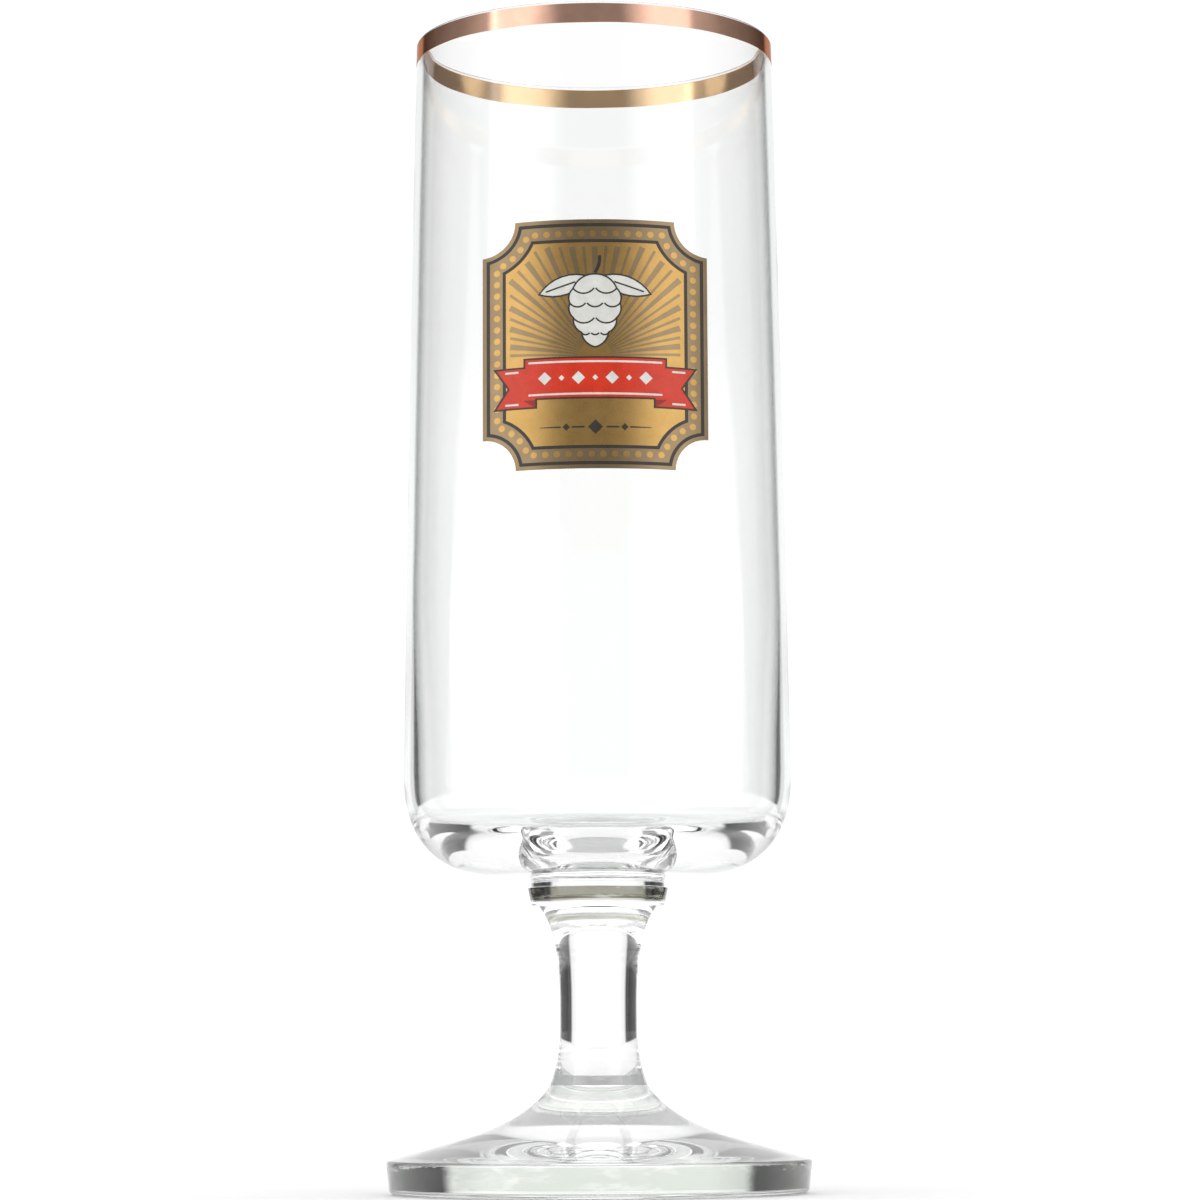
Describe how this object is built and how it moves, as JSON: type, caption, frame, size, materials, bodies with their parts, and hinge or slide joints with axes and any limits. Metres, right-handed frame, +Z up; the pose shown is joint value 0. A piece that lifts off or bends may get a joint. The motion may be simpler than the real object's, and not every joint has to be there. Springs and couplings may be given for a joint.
{
  "type": "footed beer glass",
  "caption": "Tall footed beer glass: a slightly tapered bowl on a collar, a waisted stem and a spreading foot, with a gold band round the lip and a fired badge on the front.",
  "frame": {"origin": "centre of the foot's resting ring, on the table", "axes": "+Z up along the glass's axis to the lip, -Y towards the viewer and the badge, +X to the viewer's right"},
  "size_m": [0.0654, 0.0654, 0.18],
  "materials": {
    "clear_glass": "clear, fire polished soda-lime glass",
    "lip_gold": "fired gold lustre, polished",
    "bronze_lustre": "fired bronze lustre, satin",
    "bright_gold": "fired gold lustre, satin",
    "dark_enamel": "fired dark brown enamel",
    "red_enamel": "fired red enamel, glossy",
    "white_enamel": "fired white enamel, glossy"
  },
  "bodies": {
    "root": {"bowl": "clear_glass", "collar": "clear_glass", "stem": "clear_glass", "foot": "clear_glass", "lip_gold_band": "lip_gold", "badge_ground": "bronze_lustre", "badge_frame_line": "dark_enamel", "badge_field": "bright_gold", "badge_ribbon": "red_enamel", "badge_hop": "white_enamel"}
  },
  "joints": []
}
